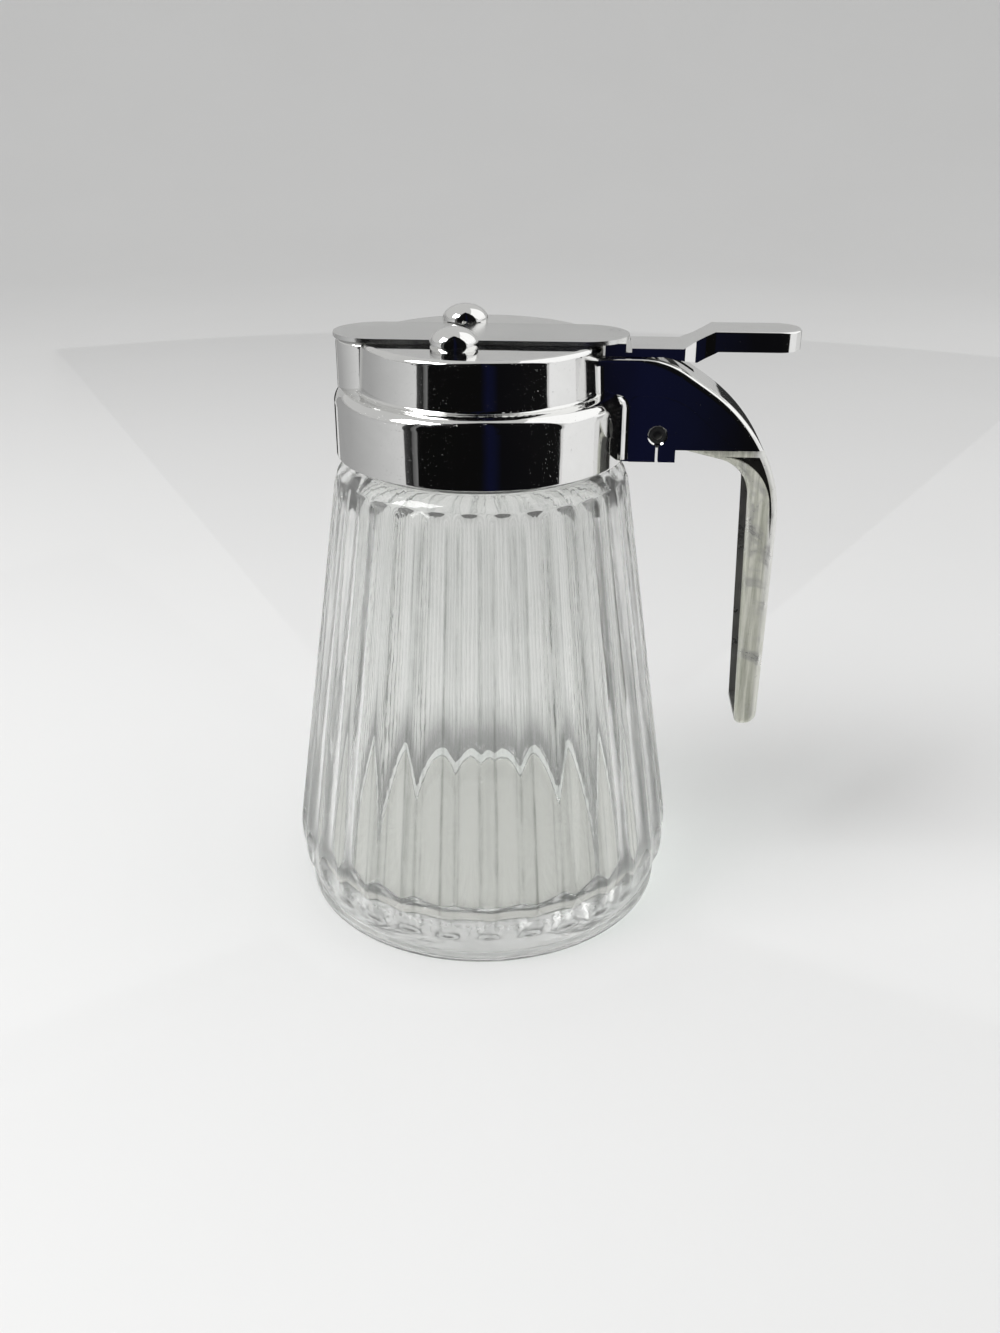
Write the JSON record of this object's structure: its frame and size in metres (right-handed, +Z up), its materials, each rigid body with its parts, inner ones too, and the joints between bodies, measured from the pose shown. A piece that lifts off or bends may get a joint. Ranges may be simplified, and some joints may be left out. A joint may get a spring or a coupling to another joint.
{
  "type": "syrup dispenser",
  "caption": "Table syrup dispenser: tapered fluted glass jar with a screw-on chromed pouring head, side grip, and a flat sliding gate over the spout worked by a thumb lever.",
  "frame": {"origin": "centre of the jar's base, on the surface it stands on", "axes": "+Z up along the jar's axis, -X towards the spout, +X towards the grip and thumb lever"},
  "size_m": [0.1207, 0.0972, 0.1463],
  "materials": {
    "glass": "clear pressed glass with a faint green-grey tint",
    "chrome": "bright plated, polished",
    "steel": "plain rolled stainless, lightly worn",
    "rubber": "pale grey, smooth"
  },
  "bodies": {
    "jar": {"glass_jar": "glass"},
    "gasket": {"sealing_gasket": "rubber"},
    "head": {"pour_head": "chrome", "grip": "chrome", "spring_pin": "chrome", "spring_bush": "steel", "return_spring": "steel", "guide_button_near": "chrome", "guide_button_far": "chrome", "button_washer_near": "steel", "button_washer_far": "steel"},
    "gate": {"gate_plate": "steel", "thumb_lever": "chrome", "lever_rivet_near": "steel", "lever_rivet_far": "steel"},
    "spring_end": {"spring_arm": "steel"}
  },
  "joints": [
    {"name": "head_lift", "type": "slide", "parent": "jar", "child": "gasket", "axis": [0, 0, 1], "range_m": [0, 0.0075]},
    {"name": "head_turn", "type": "hinge", "parent": "gasket", "child": "head", "pos_m": [0, 0, 0.1275], "axis": [0, 0, 1], "range_deg": [0, 540]},
    {"name": "gate_slide", "type": "slide", "parent": "head", "child": "gate", "axis": [1, 0, 0], "range_m": [0, 0.011], "stiffness_N_per_m": 150, "springref_m": -0.01},
    {"name": "spring_turn", "type": "hinge", "parent": "head", "child": "spring_end", "pos_m": [0.0408, 0.0026, 0.1215], "axis": [0, 1, 0], "range_deg": [0, 54.6]}
  ],
  "couplings": [
    {"joint": "head_lift", "follows": "head_turn", "m_per_rad": 0.000795},
    {"joint": "spring_turn", "follows": "gate_slide", "rad_per_m": 86.56}
  ]
}
